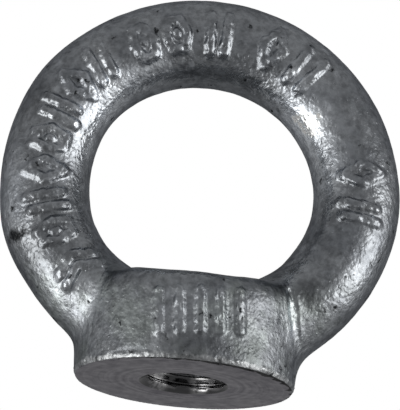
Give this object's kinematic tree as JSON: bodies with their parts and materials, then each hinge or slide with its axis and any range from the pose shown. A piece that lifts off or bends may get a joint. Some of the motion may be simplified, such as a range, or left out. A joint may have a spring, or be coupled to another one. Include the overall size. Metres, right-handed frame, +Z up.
{
  "type": "lifting eye nut",
  "caption": "Forged lifting eye nut: a round ring on a flat-seated round boss with a through thread, hot-dip galvanised.",
  "frame": {"origin": "centre of the flat seat, on the axis of the thread", "axes": "+Z up from the seat through the thread to the crown of the ring; the ring lies in the XZ plane, so +Y is the axis of the eye"},
  "size_m": [0.0454, 0.025, 0.045],
  "materials": {
    "zinc_coat": "hot-dip galvanised, satin to glossy, with a fine pebbled grain"
  },
  "bodies": {
    "root": {"eye_nut": "zinc_coat"}
  },
  "joints": []
}
